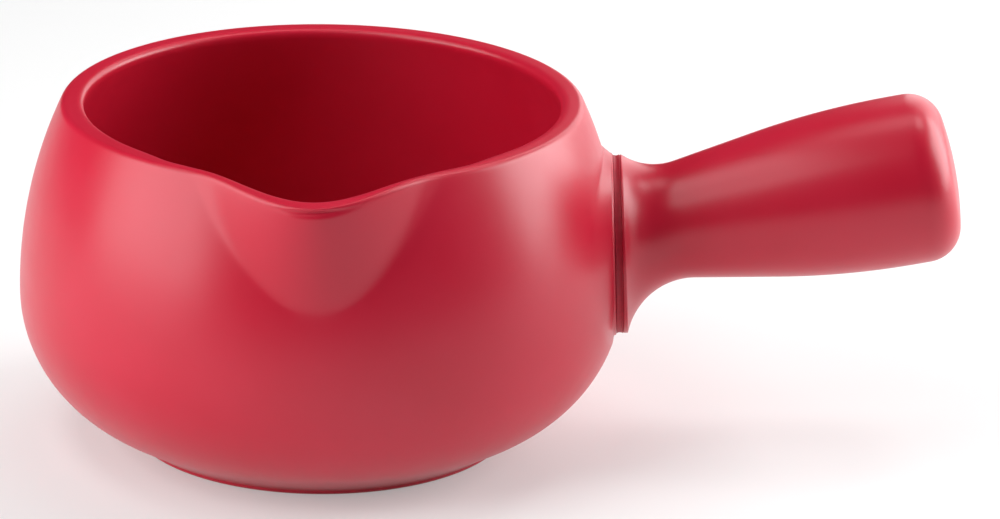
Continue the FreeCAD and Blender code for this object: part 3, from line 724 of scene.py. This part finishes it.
waviness = add_node(tree, "Bump", {"Strength": 0.08, "Distance": 0.0012, "Height": wave.outputs["Fac"]})
relief = add_node(tree, "Bump", {
    "Strength": 0.03, "Distance": 0.0001, "Height": pits.outputs["Fac"],
    "Normal": waviness.outputs["Normal"]})
coat = add_node(tree, "BsdfPrincipled", {
    "Base Color": shade.outputs["Color"], "Roughness": sheen.outputs["Result"], "IOR": GLASS_IOR,
    "Normal": relief.outputs["Normal"]})
add_node(tree, "OutputMaterial", {"Surface": coat.outputs["BSDF"]})
print("glaze has", len(tree.nodes), "nodes")

# %% [markdown]
# ## The fired slip
# The seam takes less glaze than the castings, because a brush skips over it and the slip soaks it
# up. So it is the same red, drier and a little grainy, and the grain is that of the clay. Its darker
# red is partly the thin glaze and partly painted shade of the groove between boss and flange.

# %% Fired slip
# A dull dark red line with a fine grain. Part of its darkness is painted shade of the groove.
GRAIN_SIZE, DRY_ROUGHNESS, DRY_IOR = 1.2, 0.5, 1.4
seam, tree = new_material("thin_glazed_slip_with_painted_groove_shade")
place = add_node(tree, "TexCoord", {}).outputs["Object"]
grain = add_node(tree, "TexNoise", {"Vector": place, "Scale": PER_MM / GRAIN_SIZE, "Detail": 4.0})
# The two reds are darker than the glaze's, partly for the thin glaze and partly as painted shade of the
# groove at the seam.
slip_red_and_groove_shade = add_node(tree, "ValToRGB", {"Fac": grain.outputs["Fac"]})
for stop, (position, code) in zip(slip_red_and_groove_shade.color_ramp.elements, [(0.3, "#A0122A"), (0.7, "#AE1730")]):
    stop.position, stop.color = position, linear(code)
grit = add_node(tree, "Bump", {"Strength": 0.2, "Distance": 0.0002, "Height": grain.outputs["Fac"]})
body = add_node(tree, "BsdfPrincipled", {
    "Base Color": slip_red_and_groove_shade.outputs["Color"], "Roughness": DRY_ROUGHNESS, "IOR": DRY_IOR,
    "Normal": grit.outputs["Normal"]})
add_node(tree, "OutputMaterial", {"Surface": body.outputs["BSDF"]})
print("slip has", len(tree.nodes), "nodes")

# %% [markdown]
# ## On the frame
# Each skin stands for one CAD solid, which stays in the file for collision and is hidden. Nothing
# moves on a pan, so all three ride on the one body.

# %% Put the pieces on the frame
for piece, node, slot, material in (
    (bowl, "bowl", "red_glaze", glaze),
    (handle, "handle", "red_glaze", glaze),
    (slip, "joint_slip", "seam_slip", seam),
):
    piece.data.materials.append(material)
    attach(piece, "root")
    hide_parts(node)
    print(piece.name, "stands for", node)

# %% [markdown]
# ## The floor
# The pan stands on white paper. It is a matte sheet, so that it catches the pan's shadow and sends
# some light back up under the belly. A share of pure white is mixed in where the camera or a glossy
# reflection sees the sheet, as a printer would lift the paper in a catalogue picture. That white
# shows, but it doesn't light the pan. In the glaze, the front of the belly shows bright paper below
# and a dark room above it, as if the paper ended in front of the pan. So the paper is two sheets,
# and the front one, which only fills the view from behind, sends no light to the pan. From here on,
# lengths are in metres.

# %% White paper
# A pale even ground with a soft shadow.
FLOOR_REACH, FLOOR_FRONT, FLOOR_DROP = 3.0, 0.34, 0.0003
PRINT_WHITE = 0.3
paper, tree = new_material("white_paper_sweep")
matte = add_node(tree, "BsdfDiffuse", {"Color": linear("#EEEEEE")})
white = add_node(tree, "Emission", {"Color": (1, 1, 1, 1), "Strength": 1.0})
rays = add_node(tree, "LightPath", {}).outputs
seen = rays["Is Camera Ray"]
for ray in ("Is Glossy Ray", "Is Transmission Ray"):
    seen = add_node(tree, "Math", {0: seen, 1: rays[ray]}, operation="MAXIMUM").outputs["Value"]
lifted = add_node(tree, "Math", {0: seen, 1: PRINT_WHITE}, operation="MULTIPLY")
shown = add_node(tree, "MixShader", {
    0: lifted.outputs["Value"], 1: matte.outputs["BSDF"], 2: white.outputs["Emission"]})
add_node(tree, "OutputMaterial", {"Surface": shown.outputs["Shader"]})
for name, front, back, lights_pan in (
    ("studio_floor", -FLOOR_FRONT, FLOOR_REACH, True),
    ("studio_floor_front", -FLOOR_REACH, -FLOOR_FRONT, False),
):
    corners = ((-1, front), (1, front), (1, back), (-1, back))
    sheet_mesh = bpy.data.meshes.new(name)
    sheet_mesh.from_pydata(
        [(x * FLOOR_REACH, y, -FLOOR_DROP) for x, y in corners], [], [(0, 1, 2, 3)])
    sheet_mesh.materials.append(paper)
    sheet = bpy.data.objects.new(name, sheet_mesh)
    sheet.visible_glossy = sheet.visible_diffuse = lights_pan
    bpy.context.scene.collection.objects.link(sheet)
    print(name, "is", 2 * FLOOR_REACH, "m wide and", round(back - front, 2), "m deep")

# %% [markdown]
# ## The light
# A satin glaze shows its lamps as broad soft bands, so their places can be read from the pan: a
# softbox stands on each side, a weaker one behind on the right, and four small ones hang high, for
# the rim and the grip's upper side. Area lamps are chosen because each band can then be set by
# itself. The room is dim, which keeps the inside of the bowl deep red.

# %% Room
ROOM_LIGHT = 0.04
world = bpy.data.worlds.new("studio")
bpy.context.scene.world = world
world.use_nodes = True
tree = world.node_tree
tree.nodes.clear()
room = add_node(tree, "Background", {"Color": (1, 1, 1, 1), "Strength": ROOM_LIGHT})
add_node(tree, "OutputWorld", {"Surface": room.outputs["Background"]})
print("room light", ROOM_LIGHT)

# %% Lamps
AIM = Vector((0.03, 0, 0.04))
LAMP_DISTANCE = 0.75


def add_panel(name, azimuth, elevation, width, height, power):
    """A softbox that faces the pan, seen from it at these angles in degrees.

    Azimuth 0 is in front of the lip and 90 is beyond the handle. Width and height are in metres, and
    power is in watts.
    """
    turn, rise = math.radians(azimuth), math.radians(elevation)
    toward = Vector((math.sin(turn) * math.cos(rise), -math.cos(turn) * math.cos(rise), math.sin(rise)))
    lamp = bpy.data.lights.new(name, "AREA")
    lamp.shape = "RECTANGLE"
    lamp.size, lamp.size_y, lamp.energy = width, height, power
    panel = bpy.data.objects.new(name, lamp)
    panel.location = AIM + toward * LAMP_DISTANCE
    panel.rotation_euler = (-toward).to_track_quat("-Z", "Y").to_euler()
    bpy.context.scene.collection.objects.link(panel)
    print(name, "at", [round(c, 2) for c in panel.location], "with", power, "W")


add_panel("right_softbox", 105, 22, 0.58, 0.58, 7.4)
add_panel("left_softbox", 293, 22, 0.7, 0.62, 5.8)
add_panel("rear_softbox", 150, 22, 0.58, 0.58, 2.2)
add_panel("high_left_lamp", 285, 64, 0.45, 0.2, 1.1)
add_panel("high_front_lamp", 330, 50, 0.22, 0.22, 0.5)
add_panel("high_right_lamp", 120, 64, 0.2, 0.2, 0.7)
add_panel("top_lamp", 180, 78, 0.25, 0.25, 0.5)

# %% [markdown]
# ## The camera
# The camera was found from the photograph: the rim's ellipse gives its height, the belly's outline
# its distance, and the foot its tilt. A long lens at 1.2 m keeps the pan's sides nearly parallel.

# %% Camera
DISTANCE, RAISE, AZIMUTH = 1.2, math.radians(19.47), math.radians(1.9)
YAW, PITCH, ROLL = math.radians(2.033), math.radians(19.45), math.radians(0.98)
FOCAL_PIXELS, FRAME_PIXELS, SENSOR_WIDTH = 5317, 1000, 36
heading = Matrix.Rotation(AZIMUTH, 3, "Z")
eye = heading @ Vector((0, -math.cos(RAISE) * DISTANCE, math.sin(RAISE) * DISTANCE + AIM.z))
sight = Vector((math.sin(YAW) * math.cos(PITCH), math.cos(YAW) * math.cos(PITCH), -math.sin(PITCH)))
forward = heading @ sight
right = heading @ Vector((math.cos(YAW), -math.sin(YAW), 0))
top = right.cross(forward)
level_x = math.cos(ROLL) * right + math.sin(ROLL) * top
level_y = -math.sin(ROLL) * right + math.cos(ROLL) * top
camera_data = bpy.data.cameras.new("photo_camera")
camera_data.sensor_width = SENSOR_WIDTH
camera_data.lens = FOCAL_PIXELS / FRAME_PIXELS * SENSOR_WIDTH
camera = bpy.data.objects.new("photo_camera", camera_data)
facing = Matrix((level_x, level_y, -forward)).transposed().to_4x4()
camera.matrix_world = Matrix.Translation(eye) @ facing
bpy.context.scene.collection.objects.link(camera)
bpy.context.scene.camera = camera
bpy.context.scene.view_settings.view_transform = "Standard"
print("lens", round(camera_data.lens, 1), "mm")
